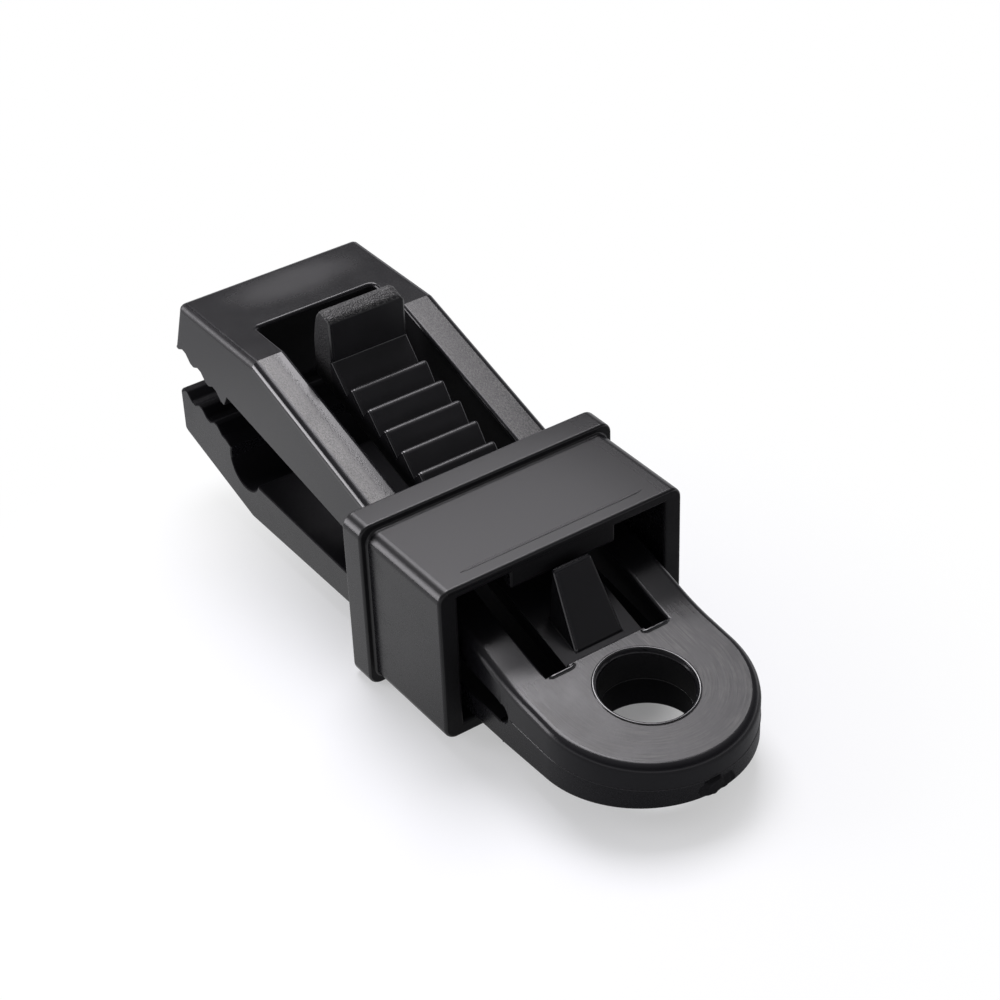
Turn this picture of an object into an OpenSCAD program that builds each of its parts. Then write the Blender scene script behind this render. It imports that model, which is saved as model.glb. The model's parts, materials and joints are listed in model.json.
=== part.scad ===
// Lock-grip tarp clip: a moulded two-arm jaw with a rope eye, squeezed shut by a sliding lock sleeve.
// The tail carries the rope eye. An upper and a lower arm leave it on either side of a slit, whose
// round end is the living hinge. A ratchet tongue lies in the window of the upper arm.
// X runs along the clip towards the rope eye, Z is up and the sleeve stands on Z = 0. Drawn with the
// sleeve fully back and the jaws open. Millimetres.

/* [Tail] */
// Width of the tail and of both arms
body_w = 25.5; // [20:0.5:32]
// Thickness of the tail where the arms leave it
tail_t = 8.25; // [7.5:0.25:10]
// Length of the tail from the bend line to its tip
tail_len = 18.9; // [18:0.1:26]
// Fall of the tail's upper face towards its tip, in degrees
tail_top_fall = 6.5; // [3:0.5:9]
// Rise of the tail's underside towards its tip, in degrees
tail_under_rise = 2; // [0:0.5:4]
// Diameter of the rope eye
eye_d = 10.5; // [7:0.5:12]
// Distance of the rope eye from the bend line
eye_from_bend = 7.05; // [6.5:0.05:9]
// Width of the chamfer round both mouths of the rope eye
eye_chamfer = 0.35; // [0.2:0.05:1]

/* [Arms] */
// Height of the slit's centre line at its round end, above the underside
hinge_h = 4.2; // [3.6:0.1:4.6]
// Width of the slit at its round end
slit_d = 2.5; // [1.5:0.1:3]
// Distance of the bend line behind the slit's round end
bend_run = 2; // [1.5:0.1:3]
// Rise of the rails' upper faces towards the jaws, in degrees
rail_rise = 17.5; // [15:0.25:20]
// Rise of the upper arm's inner face towards the jaws, in degrees
upper_in_rise = 10.3; // [8:0.1:11.5]
// Rise of the lower arm's inner face towards the jaws, in degrees
lower_in_rise = 3.1; // [1:0.1:4]
// Distance from the slit's end to the knee, where the rails meet the flat head
knee_from_hinge = 48.6; // [46:0.2:56]
// Width of the window in the upper arm
window_w = 16.4; // [14:0.2:18]
// Reach of the window past the knee, into the head
window_past_knee = 6.6; // [4:0.2:9]
// Radius of the window's front corners
window_corner_r = 0.6; // [0.5:0.1:3]
// Reach of the slots beside the tongue past the bend line, into the tail
slot_past_bend = 0.4; // [0.2:0.1:1]
// Parting gap where an arm or the tongue leaves the tail
flex_gap = 0.1; // [0.05:0.01:0.2]

/* [Jaws] */
// Length of the head's flat top, from the knee to its front edge
head_len = 17.2; // [14:0.2:19]
// Angle that the jaws stand open at rest, in degrees
jaw_open = 4.6; // [4:0.1:7]
// Distance of the lower jaw's last tooth from the slit's end
bite_from_hinge = 59.7; // [58.5:0.1:62]
// Height of the bite line above the underside at that tooth
bite_h = 9.6; // [8.5:0.05:10.5]
// Rise of the bite line towards the front, in degrees
bite_rise = 10; // [4:0.5:12]
// Number of teeth on the lower jaw
bite_teeth = 3; // [2:1:3]
// Pitch of the jaw teeth
bite_pitch = 3.6; // [3:0.1:4]
// Height of the jaw teeth
bite_tooth_h = 0.7; // [0.4:0.1:1.3]
// Length of the flat on each tooth's tip and root
bite_flat = 0.8; // [0.4:0.1:1.2]
// Gap left between the shut jaws
bite_gap = 0.6; // [0.25:0.05:0.8]
// Length of the nose in front of the lower jaw's first tooth
nose_len = 1.45; // [0.9:0.05:2]
// Size of the bevels on the lower jaw's nose
nose_bevel = 0.65; // [0.3:0.05:0.8]
// Height of the lower jaw's front edge above the underside
chin_h = 4.9; // [3:0.1:6]
// Distance from the slit's end to where the lower jaw's bevel starts
chin_from_hinge = 52.5; // [48:0.5:58]
// Diameter of the hem groove behind the lower teeth
groove_d = 6.5; // [5:0.1:7]
// Distance of the hem groove from the slit's end
groove_from_hinge = 53.3; // [52:0.1:54]
// Height of the hem groove's centre above the underside
groove_h = 7.15; // [6.8:0.05:8]

/* [Ratchet tongue] */
// Width of the tongue
strip_w = 10.5; // [8:0.1:12]
// Thickness of the tongue under its teeth
strip_t = 2.4; // [1.6:0.1:2.6]
// Depth of the tongue's tooth roots below the rails
strip_drop = 0.5; // [0.3:0.1:0.8]
// Number of ratchet teeth
tooth_count = 8; // [5:1:8]
// Pitch of the ratchet teeth along X
tooth_pitch = 3.37; // [2.8:0.01:3.6]
// Height of the ratchet teeth
tooth_h = 1.3; // [1:0.1:1.5]
// Length of the steep flank of a ratchet tooth along X
tooth_flank = 1; // [0.3:0.1:1.4]
// Distance of the first crest from the thumb tab
tab_to_crest = 3.7; // [3:0.1:5]
// Distance from the slit's end to the thumb tab's pushing face
tab_from_hinge = 43; // [41:0.2:45]
// Thickness of the thumb tab at its foot
tab_t = 4; // [3:0.1:5]
// Height of the thumb tab above the tooth roots
tab_h = 8.4; // [6:0.1:10]
// Height of the sloping foot in front of the tab's pushing face
tab_foot_h = 2.1; // [1:0.1:3]
// Distance of the tab's top ridge from its pushing face
tab_ridge = 2; // [1:0.1:2.4]
// Height of the slope from the pushing face up to the ridge
tab_slope_h = 0.8; // [0.5:0.1:2]
// Radius of the tab's curved front
tab_front_r = 14; // [10:0.5:18]
// Gap between the stop barb and the sleeve at rest
barb_gap = 1.1; // [0.5:0.1:2]
// Depth by which the stop barb laps over the sleeve's pawl
barb_lap = 1.25; // [0.6:0.05:1.8]
// Width of the stop barb at its top
barb_top_w = 5.1; // [3:0.1:6]
// Width of the stop barb at its foot
barb_foot_w = 6.6; // [4:0.1:8]
// Length of the flat on top of the stop barb
barb_flat = 0.4; // [0.2:0.1:1]
// Slope of the stop barb's ramp, in degrees
barb_ramp = 59; // [56:1:70]

/* [Lock sleeve] */
// Length of the sleeve along X, flange included
sleeve_len = 17.5; // [15:0.1:20]
// Distance of the sleeve's rear face from the slit's end
sleeve_rear = 5.4; // [5:0.1:7]
// Length of the grip flange along X
flange_len = 3.6; // [2.5:0.1:5]
// Height of the grip flange above the sleeve's walls
flange_step = 0.9; // [0.5:0.1:2]
// Thickness of the side walls
side_wall = 2.45; // [1.5:0.05:3]
// Thickness of the top wall
top_wall = 1.4; // [1.2:0.1:2.5]
// Thickness of the bottom wall
floor_wall = 1.75; // [1.2:0.05:2.5]
// Gap between the arms and each side wall
side_gap = 1.15; // [0.5:0.05:1.5]
// Gap under the lower arm
slide_gap = 0.2; // [0.1:0.05:0.4]
// Gap over the rails at the sleeve's front edge
squeeze_gap = 0.75; // [0.7:0.05:1.2]
// Width of the pawl and of the relief for the teeth
pawl_w = 14.1; // [12:0.1:15]
// Length of the pawl along X
pawl_len = 2.2; // [1.5:0.1:3]
// Height of the pawl below the sleeve's ceiling
pawl_h = 2.1; // [1.5:0.1:2.5]
// Depth of the relief in the ceiling, which lets the ratchet teeth pass
relief_h = 0.7; // [0.5:0.1:0.9]
// Radius of the sleeve's outer corners
sleeve_corner_r = 1.5; // [0.5:0.1:2.2]
// Lead-in chamfer inside the sleeve's front edge
lead_in = 0.5; // [0.2:0.1:0.8]

/* [Hidden] */
$fn = 64;
over = 1;
tall = 80;
plastic = [0.05, 0.05, 0.055];

// Levels and the main points of the side view, as [x, z] with the slit's end at x = 0
sleeve_floor = flange_step + floor_wall;
under = sleeve_floor + slide_gap;
hinge = [0, under + hinge_h];
bend = [bend_run, under + tail_t];
function rail_z(x) = bend[1] + tan(rail_rise) * (bend[0] - x);
function on_rail(x, rise) = [x, rail_z(x) + rise / cos(rail_rise)];
knee = [-knee_from_hinge, rail_z(-knee_from_hinge)];
head_front = [knee[0] - head_len, knee[1]];
sleeve_front = -sleeve_rear - sleeve_len;
ceiling = rail_z(sleeve_front) + squeeze_gap;
sleeve_top = ceiling + top_wall;
pawl_foot = ceiling - pawl_h;
tail_tip = bend[0] + tail_len;
eye_x = bend[0] + eye_from_bend;
function tail_top_z(x) = bend[1] - tan(tail_top_fall) * (x - bend[0]);
function tail_under_z(x) = under + tan(tail_under_rise) * x;

// The inner faces of the arms leave the slit's round end as tangents
slit_r = slit_d / 2;
function upper_in_z(x) = hinge[1] + slit_r / cos(upper_in_rise) - tan(upper_in_rise) * x;
function lower_in_z(x) = hinge[1] - slit_r / cos(lower_in_rise) - tan(lower_in_rise) * x;
upper_tangent = hinge + slit_r * [sin(upper_in_rise), cos(upper_in_rise)];
lower_tangent = hinge - slit_r * [sin(lower_in_rise), cos(lower_in_rise)];

// Swings a point of the upper jaw about the slit's end, opening the jaws by a
function swing(p, a) = hinge + [
    (p - hinge)[0] * cos(a) + (p - hinge)[1] * sin(a),
    (p - hinge)[1] * cos(a) - (p - hinge)[0] * sin(a)];

// The bite: a row of teeth with flat tips and roots. Half steps run forwards from the last lower
// tooth, where step 0 is a tip of the lower jaw and step 1 a root
function bite_x(step) = -bite_from_hinge - step * bite_pitch / 2;
function bite_z(x, step) = under + bite_h + tan(bite_rise) * (-bite_from_hinge - x)
    + (step % 2 == 0 ? 1 : -1) * bite_tooth_h / 2;
function bite_row(first, last) = [for (step = [first:last]) for (side = [0.5, -0.5])
    let (x = bite_x(step) + side * bite_flat) [x, bite_z(x, step)]];
last_tip = 2 * (bite_teeth - 1);
nose_x = bite_x(last_tip) - nose_len;
lower_row = bite_row(-1, last_tip);
upper_row = [for (p = bite_row(-1, last_tip + 1)) swing(p + [0, bite_gap], jaw_open)];
upper_nose = upper_row[len(upper_row) - 1];

// Tongue: the root lies on the radial line through the bend
root_dir = (bend - hinge) / norm(bend - hinge);
root_lean = cos(atan2(root_dir[0], root_dir[1]) - rail_rise);
root_top = hinge + root_dir * (norm(bend - hinge) - strip_drop / root_lean);
root_foot = hinge + root_dir * (norm(bend - hinge) - (strip_drop + strip_t) / root_lean);
crest_rise = tooth_h - strip_drop;
function crest_x(i) = -tab_from_hinge + tab_to_crest + i * tooth_pitch;
tab_face = -tab_from_hinge;
tab_front = tab_face - tab_t;
tab_root = on_rail(tab_face, -strip_drop)[1];
barb_face = -sleeve_rear + barb_gap;
barb_top = pawl_foot + barb_lap;
barb_foot = barb_face + barb_flat + (barb_top - rail_z(barb_face + barb_flat) + strip_drop)
    / (tan(barb_ramp) - tan(rail_rise));

// The part is centred on its own length
x_min = min(nose_x, upper_nose[0], head_front[0]);
centre_x = (x_min + tail_tip) / 2;

// Draws a side view of [x, z] points across the clip
module across(w) translate([-centre_x, 0, 0]) rotate([90, 0, 0])
    linear_extrude(w, center = true) children();

// Draws a top view of [x, y] shapes upwards from z
module upwards(z, h) translate([-centre_x, 0, z]) linear_extrude(h) children();

module at(p) translate(p) children();

// A rectangle centred across the clip, standing on z = foot, with rounded corners
module rounded_section(w, foot, top, r) {
    translate([-w / 2 + r, foot]) square([w - 2 * r, top - foot]);
    translate([-w / 2, foot + r]) square([w, top - foot - 2 * r]);
    for (y = [-w / 2 + r, w / 2 - r], z = [foot + r, top - r]) translate([y, z]) circle(r);
}

// Draws a section of [y, z] points along X between two stations
module along(from, to) translate([from - centre_x, 0, 0]) rotate([90, 0, 90])
    linear_extrude(to - from) children();

// Plan of the tail: straight sides and a half-round end
module tail_plan() {
    translate([-over, -body_w / 2]) square([tail_tip - body_w / 2 + over, body_w]);
    translate([tail_tip - body_w / 2, 0]) circle(body_w / 2, $fn = 128);
}

// A conical countersink square to a face that leans in X
module countersink(x, z, lean) translate([x - centre_x, 0, z]) rotate([0, lean, 0])
    translate([0, 0, -2 * eye_chamfer])
        cylinder(h = 3 * eye_chamfer, r1 = eye_d / 2 - eye_chamfer, r2 = eye_d / 2 + 2 * eye_chamfer);

// The ends of the two slots beside the tongue, down to its underside
module slot_ends() {
    slot_w = (window_w - strip_w) / 2;
    for (side = [-1, 1]) translate([0, side * (strip_w + slot_w) / 2, 0]) across(slot_w) polygon([
        root_foot - [over, 0], root_foot + [slot_past_bend, 0],
        bend + [slot_past_bend, 0] + root_dir * over, bend - [over, 0] + root_dir * over]);
}

module tail_eye() color(plastic) difference() {
    intersection() {
        across(body_w + over) difference() {
            polygon([hinge, bend, [tail_tip + over, tail_top_z(tail_tip + over)],
                [tail_tip + over, tail_under_z(tail_tip + over)], [0, under]]);
            at(hinge) circle(slit_r);
        }
        upwards(0, tall) tail_plan();
    }
    translate([eye_x - centre_x, 0, -over]) cylinder(h = tall, r = eye_d / 2);
    countersink(eye_x, tail_top_z(eye_x), tail_top_fall);
    countersink(eye_x, tail_under_z(eye_x), 180 - tail_under_rise);
    slot_ends();
}

module lower_jaw() color(plastic) across(body_w) difference() {
    polygon(concat(
        [hinge - [flex_gap, 0], [-flex_gap, under], [-chin_from_hinge, under],
            [nose_x + nose_bevel, under + chin_h - nose_bevel / 2], [nose_x, under + chin_h],
            [nose_x, lower_row[len(lower_row) - 1][1] - nose_bevel]],
        [for (i = [len(lower_row) - 1:-1:0]) lower_row[i]],
        [[-groove_from_hinge + groove_d / 2, lower_in_z(-groove_from_hinge + groove_d / 2)],
            lower_tangent - [flex_gap, 0]]));
    at(hinge) circle(slit_r);
    at([-groove_from_hinge, under + groove_h]) circle(groove_d / 2);
}

// Plan of the window: open towards the tail, with round front corners
module window_plan() {
    front = knee[0] - window_past_knee;
    r = window_corner_r;
    translate([front + r, -window_w / 2]) square([bend[0] + over - front - r, window_w]);
    translate([front, -window_w / 2 + r]) square([2 * r, window_w - 2 * r]);
    for (y = [-window_w / 2 + r, window_w / 2 - r]) translate([front + r, y]) circle(r);
}

module upper_jaw() color(plastic) difference() {
    across(body_w) difference() {
        polygon(concat(
            [hinge - [flex_gap, 0], on_rail(bend[0] - flex_gap, 0), knee, head_front],
            [for (i = [len(upper_row) - 1:-1:0]) upper_row[i]],
            [[upper_row[0][0] + bite_pitch / 4, upper_in_z(upper_row[0][0] + bite_pitch / 4)],
                upper_tangent - [flex_gap, 0]]));
        at(hinge) circle(slit_r);
    }
    upwards(0, tall) window_plan();
}

// Side view of the tongue with its saw teeth. Its free end carries the thumb tab
module tongue_side() {
    polygon(concat(
        [root_foot - [flex_gap, 0], root_top - [flex_gap, 0]],
        [for (i = [tooth_count - 1:-1:0]) for (p = [
            on_rail(crest_x(i) + tooth_pitch - tooth_flank, -strip_drop),
            on_rail(crest_x(i), crest_rise),
            on_rail(crest_x(i) - tooth_flank, -strip_drop)]) p],
        [[tab_face, tab_root + tab_foot_h], [tab_front, tab_root + tab_foot_h],
            on_rail(tab_front, -strip_drop - strip_t)]));
    thumb_tab_side();
}

// Side view of the thumb tab: an upright pushing face, a sloping top and a curved front
module thumb_tab_side() intersection() {
    top = tab_root + tab_h;
    polygon([[tab_front, tab_root], [tab_face, tab_root], [tab_face, top - tab_slope_h],
        [tab_face - tab_ridge, top], [tab_front, top]]);
    at([tab_front + tab_front_r, tab_root + tab_foot_h]) circle(tab_front_r, $fn = 256);
}

// The stop barb: a wedge that is narrower at its top
module barb() intersection() {
    across(barb_foot_w + over) polygon([
        on_rail(barb_face, -strip_drop - over / 2), [barb_face, barb_top],
        [barb_face + barb_flat, barb_top], [barb_foot, rail_z(barb_foot) - strip_drop],
        on_rail(barb_foot, -strip_drop - over / 2)]);
    along(barb_face - over, barb_foot + over) polygon([
        [-barb_foot_w / 2, rail_z(barb_foot) - over], [barb_foot_w / 2, rail_z(barb_foot) - over],
        [barb_top_w / 2, barb_top], [-barb_top_w / 2, barb_top]]);
}

module ratchet_tongue() color(plastic) {
    across(strip_w) tongue_side();
    barb();
}

module lock_sleeve() color(plastic) {
    inner_w = body_w + 2 * side_gap;
    outer_w = inner_w + 2 * side_wall;
    flange_w = outer_w + 2 * flange_step;
    flange_rear = sleeve_front + flange_len;
    difference() {
        union() {
            along(sleeve_front + flange_len / 2, -sleeve_rear)
                rounded_section(outer_w, flange_step, sleeve_top, sleeve_corner_r);
            along(sleeve_front, flange_rear)
                rounded_section(flange_w, 0, sleeve_top + flange_step, sleeve_corner_r);
        }
        along(sleeve_front - over, -sleeve_rear + over) translate([-inner_w / 2, sleeve_floor])
            square([inner_w, ceiling - sleeve_floor]);
        along(sleeve_front - over, -sleeve_rear - pawl_len) translate([-pawl_w / 2, sleeve_floor])
            square([pawl_w, ceiling + relief_h - sleeve_floor]);
        across(inner_w) polygon([[sleeve_front - over, ceiling - over],
            [sleeve_front - over, ceiling + lead_in + over],
            [sleeve_front + lead_in + over, ceiling - over]]);
    }
    across(pawl_w) polygon([[-sleeve_rear, ceiling + relief_h], [-sleeve_rear, pawl_foot],
        [-sleeve_rear - pawl_len / 2, pawl_foot], [-sleeve_rear - pawl_len, ceiling],
        [-sleeve_rear - pawl_len, ceiling + relief_h]]);
}

tail_eye();
lower_jaw();
upper_jaw();
ratchet_tongue();
lock_sleeve();
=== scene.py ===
"""A black lock-grip tarp clip on a pale studio floor.

The two body mouldings, the ratchet tongue and the lock sleeve are copied from the frame's solids, joined
where the plastic runs through, rounded along their edges and finished in worn satin plastic.
"""

import json
import math
from collections import namedtuple

import bmesh
import bpy
from bpy.props import FloatProperty, FloatVectorProperty, PointerProperty
from mathutils import Matrix, Vector, noise


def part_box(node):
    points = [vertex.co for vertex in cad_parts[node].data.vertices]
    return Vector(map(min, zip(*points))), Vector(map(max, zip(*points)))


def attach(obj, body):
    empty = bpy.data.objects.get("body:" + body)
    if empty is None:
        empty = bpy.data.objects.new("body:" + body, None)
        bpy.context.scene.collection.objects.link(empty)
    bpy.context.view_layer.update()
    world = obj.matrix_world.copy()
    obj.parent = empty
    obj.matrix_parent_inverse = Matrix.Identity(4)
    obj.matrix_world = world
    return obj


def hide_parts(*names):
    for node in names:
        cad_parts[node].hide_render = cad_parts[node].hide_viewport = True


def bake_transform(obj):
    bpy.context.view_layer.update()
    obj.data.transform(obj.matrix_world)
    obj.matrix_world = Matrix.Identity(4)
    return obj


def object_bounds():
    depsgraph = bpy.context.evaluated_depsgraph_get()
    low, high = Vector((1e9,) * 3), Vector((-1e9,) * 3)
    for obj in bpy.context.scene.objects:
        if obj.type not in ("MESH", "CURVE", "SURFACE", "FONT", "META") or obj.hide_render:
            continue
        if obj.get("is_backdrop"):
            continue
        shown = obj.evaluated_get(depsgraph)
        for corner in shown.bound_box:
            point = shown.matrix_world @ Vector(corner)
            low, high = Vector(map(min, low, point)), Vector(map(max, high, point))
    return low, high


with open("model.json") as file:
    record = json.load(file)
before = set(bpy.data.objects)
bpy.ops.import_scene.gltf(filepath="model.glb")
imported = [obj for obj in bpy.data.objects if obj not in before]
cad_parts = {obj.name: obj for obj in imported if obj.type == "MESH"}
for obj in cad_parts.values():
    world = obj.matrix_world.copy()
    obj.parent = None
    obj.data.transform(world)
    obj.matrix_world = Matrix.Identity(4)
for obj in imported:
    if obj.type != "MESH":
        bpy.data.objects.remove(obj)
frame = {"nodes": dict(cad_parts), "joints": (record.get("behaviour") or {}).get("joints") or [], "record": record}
CAD_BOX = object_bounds()

bl_info = {
    "name": "Tarp clip",
    "version": (1, 0, 0),
    "blender": (4, 5, 0),
    "location": "View3D > Sidebar > Tarp clip",
    "description": "Dresses the lock-grip tarp clip and sets its studio",
    "category": "Object",
}

MM = 0.001

# How close two corners, places or directions are that count as the same
WELD = 0.004 * MM
NEAR = 0.05 * MM
FLAT = math.radians(0.4)
FLUSH = 0.998
MOSTLY = 0.9

# Turns in degrees: under an arc's facets, over a shallow crease and over an unrounded edge
ARC_TURN = 22
CREASE_TURN = 4
SHARP_TURN = 45
CREASE_REACH = 0.3 * MM
BROAD_FACE = 1.5 * MM * MM

# The studio's light by height, from the horizon to the ceiling, and its tint
HORIZON = 0.17
DIM_BAND = 0.3
SKY = ((0.0, 1.0), (HORIZON, 1.0), (DIM_BAND, 0.24), (0.65, 0.2), (0.8, 0.42), (1.0, 0.5))
SKY_TINT = (0.97, 0.955, 1.0)
LAMP_TINT = (0.985, 0.96, 1.0)


def node_points(node):
    """Corners of a solid of the frame."""
    return [vertex.co.copy() for vertex in frame["nodes"][node].data.vertices]


# Places on the clip, read from the frame
JOINTS = {joint["name"]: joint for joint in frame["joints"]}
MOUNTS = {mount["name"]: mount for mount in frame["record"]["mounts"]}
HINGE = Vector(JOINTS["upper_arm_flex"]["pos_m"])
EYE = Vector(MOUNTS["rope_eye"]["pos_m"])
EYE_R = MOUNTS["rope_eye"]["dims"]["r_mm"] * MM
TAIL_LOW, TAIL_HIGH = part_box("tail_eye")
HALF_W = TAIL_HIGH.y
TAIL_ROUND_X = TAIL_HIGH.x - HALF_W
BEND = max(node_points("tail_eye"), key=lambda p: p.z)
SLIT_R = min(math.hypot(p.x - HINGE.x, p.z - HINGE.z) for p in node_points("tail_eye"))
NOSE_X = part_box("lower_jaw")[0].x
HEAD_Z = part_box("upper_jaw")[1].z
HEAD_TOP = [p for p in node_points("upper_jaw") if p.z > HEAD_Z - 0.02 * MM]
KNEE_X = max(p.x for p in HEAD_TOP)
HEAD_FRONT_X = min(p.x for p in HEAD_TOP)
WINDOW_TOP = [p for p in HEAD_TOP if abs(p.y) < HALF_W - MM]
WINDOW_FRONT_X = min(p.x for p in WINDOW_TOP)
WINDOW_HALF_W = max(p.y for p in WINDOW_TOP)
RAIL_DOWN = Vector((BEND.x - KNEE_X, 0, BEND.z - HEAD_Z)).normalized()
RAIL_NORMAL = Vector((-RAIL_DOWN.z, 0, RAIL_DOWN.x))
TONGUE_LOW, TONGUE_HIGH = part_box("ratchet_tongue")
SLOT_END = max((p for p in node_points("tail_eye")
                if TONGUE_HIGH.y - WELD < p.y < WINDOW_HALF_W + WELD and p.z > BEND.z - MM),
               key=lambda p: (p.z > BEND.z - 0.2 * MM, p.x))
SLEEVE_LOW, SLEEVE_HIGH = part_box("lock_sleeve")
BARB_TOP = max(p.z for p in node_points("ratchet_tongue") if p.x > SLEEVE_HIGH.x - 3 * MM)
WORN_X = SLEEVE_HIGH.x - 6 * MM
PLATE_FALL = min((BEND.z - p.z) / (p.x - BEND.x) for p in node_points("tail_eye")
                 if p.x > BEND.x + 5 * MM)
SLEEVE_TOP = max(p.z for p in node_points("lock_sleeve") if p.x > SLEEVE_HIGH.x - MM)


def length(name, description, default):
    """A size in millimetres, kept in metres."""
    return FloatProperty(name=name, description=description, default=default * MM, precision=5,
                         min=0, unit="LENGTH", subtype="DISTANCE")


def angle(name, description, default):
    return FloatProperty(name=name, description=description, default=math.radians(default),
                         unit="ROTATION", subtype="ANGLE")


def share(name, description, default):
    return FloatProperty(name=name, description=description, default=default, min=0, max=1,
                         subtype="FACTOR")


def colour(name, description, default):
    return FloatVectorProperty(name=name, description=description, default=default, size=3, min=0,
                               max=1, subtype="COLOR")


def power(name, description, default):
    return FloatProperty(name=name, description=description, default=default, min=0, unit="POWER")


def place(name, description, default):
    return FloatVectorProperty(name=name, description=description, size=3, precision=5,
                               default=[v * MM for v in default], unit="LENGTH", subtype="XYZ")


class ClipShape(bpy.types.PropertyGroup):
    """Edge radii and mould marks of the clip"""

    outer_edge: length("Outer edge", "Radius of the body's long upper edges", 1.0)
    under_edge: length("Under edge", "Radius of the body's lower edges", 0.35)
    fine_edge: length("Fine edge", "Radius of the plain edges of the body", 0.2)
    front_edge: length("Front edge", "Radius of the head's front edges", 0.7)
    nose_edge: length("Nose edge", "Radius of the lower jaw's nose", 0.4)
    window_edge: length("Window edge", "Radius of the window's upper edge", 0.5)
    bite_edge: length("Bite edge", "Radius of the jaw teeth's edges", 0.16)
    eye_edge: length("Eye edge", "Radius of the edges round the rope eye", 0.22)
    crest_edge: length("Crest edge", "Rounding of the ratchet teeth's crests", 0.8)
    crest_lift: length("Crest lift", "Rise of the crests that their rounding takes up", 0.6)
    tooth_root: length("Tooth root", "Fillet at the ratchet teeth's roots", 0.1)
    tooth_side: length("Tooth side", "Radius along the left ends of the ratchet teeth", 0.4)
    tooth_end: length("Tooth end", "Radius along the right ends of the ratchet teeth", 0.4)
    eye_rim: length("Eye rim", "Half width of the burr round the eye's mouth", 0.2)
    eye_rim_gap: length("Eye rim gap", "Distance of that burr from the eye", 0.48)
    bend_reach: length("Bend reach", "Half length of the round bend between the rails and the tail", 2.5)
    tab_edge: length("Tab edge", "Radius of the thumb tab's edges", 0.4)
    tab_roll: length("Tab roll", "Rounding of the slope's lower edge on the thumb tab", 0.5)
    tab_ridge: length("Tab ridge", "Rounding of the thumb tab's top ridge", 0.75)
    tab_crown: length("Tab crown", "Height of the plain stretch under the top ridge", 1.3)
    tab_corner: length("Tab corner", "Radius of the thumb tab's right upper corner", 1.4)
    tab_length: length("Tab length", "Length of the thumb tab along the tongue", 4.0)
    barb_edge: length("Barb edge", "Radius of the stop barb's edges", 0.35)
    sleeve_edge: length("Sleeve edge", "Radius round the sleeve's rear face", 0.42)
    flange_edge: length("Flange edge", "Radius of the grip flange's edges", 0.35)
    parting_fall: angle("Parting fall", "Fall of the parting line towards the tail's tip", 3)
    root_lap: length("Root lap", "Run of the arms and the tongue into the tail", 0.5)
    flash: length("Flash", "Radius of the flash along the parting line", 0.05)
    slot_lip: length("Slot lip", "Radius of the raised lips at the slots' ends", 0.28)
    witness: length("Witness line", "Half width of the witness line on the sleeve", 0.16)
    witness_rise: length("Witness rise", "Height of the witness line", 0.05)
    witness_back: length("Witness place", "Distance of the witness line from the rear face", 2.0)
    witness_half: length("Witness half length", "Half length of the witness line", 12.2)
    gate_half: length("Gate half width", "Half width of the broken gate on the tail", 2.3)
    gate_height: length("Gate height", "Height of the broken gate", 2.2)
    gate_proud: length("Gate proud", "How far the broken gate stands out", 0.45)


class ClipFinish(bpy.types.PropertyGroup):
    """Colours and gloss of the plastic"""

    body_colour: colour("Body colour", "Plastic of the body", (0.0056, 0.0055, 0.0066))
    sleeve_colour: colour("Sleeve colour", "Plastic of the lock sleeve", (0.0056, 0.0055, 0.0064))
    scuff_colour: colour("Scuff colour", "Whitened plastic in rub marks", (0.092, 0.091, 0.087))


class ClipStage(bpy.types.PropertyGroup):
    """Camera, light and floor"""

    aim: place("Aim", "Point that the camera looks at", (-7.43, 9.43, 7.64))
    distance: length("Distance", "From the aim to the camera", 290)
    azimuth: angle("Azimuth", "Camera's bearing, from the clip's left side towards its tail", 55.81)
    elevation: angle("Elevation", "Camera's height above the floor, as an angle", 35.53)
    roll: angle("Roll", "Camera's turn about its own line of sight", -2.26)
    lens: FloatProperty(name="Lens", description="Focal length", default=87.17, unit="CAMERA")
    sensor: FloatProperty(name="Sensor", description="Width of the sensor", default=36, unit="CAMERA")
    floor_radius: length("Floor radius", "Radius of the floor", 4000)
    floor_colour: colour("Floor colour", "Pale floor", (0.9, 0.92, 0.95))
    shadow_place: place("Shadow place", "Middle of the floor that keeps its shadow", (15, -15, 0))
    shadow_near: length("Shadow near", "Radius within which the floor keeps its shadow", 20)
    shadow_far: length("Shadow far", "Radius from which the floor is plain white", 75)
    shadow_lift: share("Shadow lift", "How far the floor's shadow is lifted towards white", 0.44)
    # Painted shadow: the core is a darker patch of floor under the eye, where the floor is lifted less towards
    # white than round it.
    shadow_core: share("Painted shadow core", "Share of that lift left in the shadow under the eye", 0.45)
    core_place: place("Painted core place", "Middle of the dark core under the eye", (EYE.x / MM - 8.5, 3.5, 0))
    core_near: length("Painted core near", "Radius of the dark core under the eye", 2.5)
    core_far: length("Painted core far", "Radius at which the dark core ends", 9)
    mirror_share: share("Mirror share", "Share of the even floor that the plastic mirrors", 0.8)
    # Painted reflection: the floor glows in what the plastic mirrors at a strength set along x, brighter beside
    # the jaws, dimmer far in front of them and dim beyond the tail, while the camera sees it at one strength.
    mirror_level: share("Painted mirror level", "Brightness of the mirrored floor beside the jaws", 0.64)
    mirror_tail: share("Painted mirror tail", "Brightness of the mirrored floor beyond the tail", 0.12)
    softbox_size: length("Softbox size", "Side of the overhead softbox", 560)
    softbox_place: place("Softbox place", "Middle of the overhead softbox", (-450, 200, 870))
    softbox_power: power("Softbox power", "Power of the overhead softbox", 8.8)
    strip_width: length("Strip width", "Width of the low strip light", 500)
    strip_height: length("Strip height", "Height of the low strip light", 480)
    strip_place: place("Strip place", "Middle of the low strip light", (-600, -660, 245))
    strip_power: power("Strip power", "Power of the low strip light", 4.8)


# Mesh work

EdgeFacts = namedtuple("EdgeFacts", "middle along normals turn convex")


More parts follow.
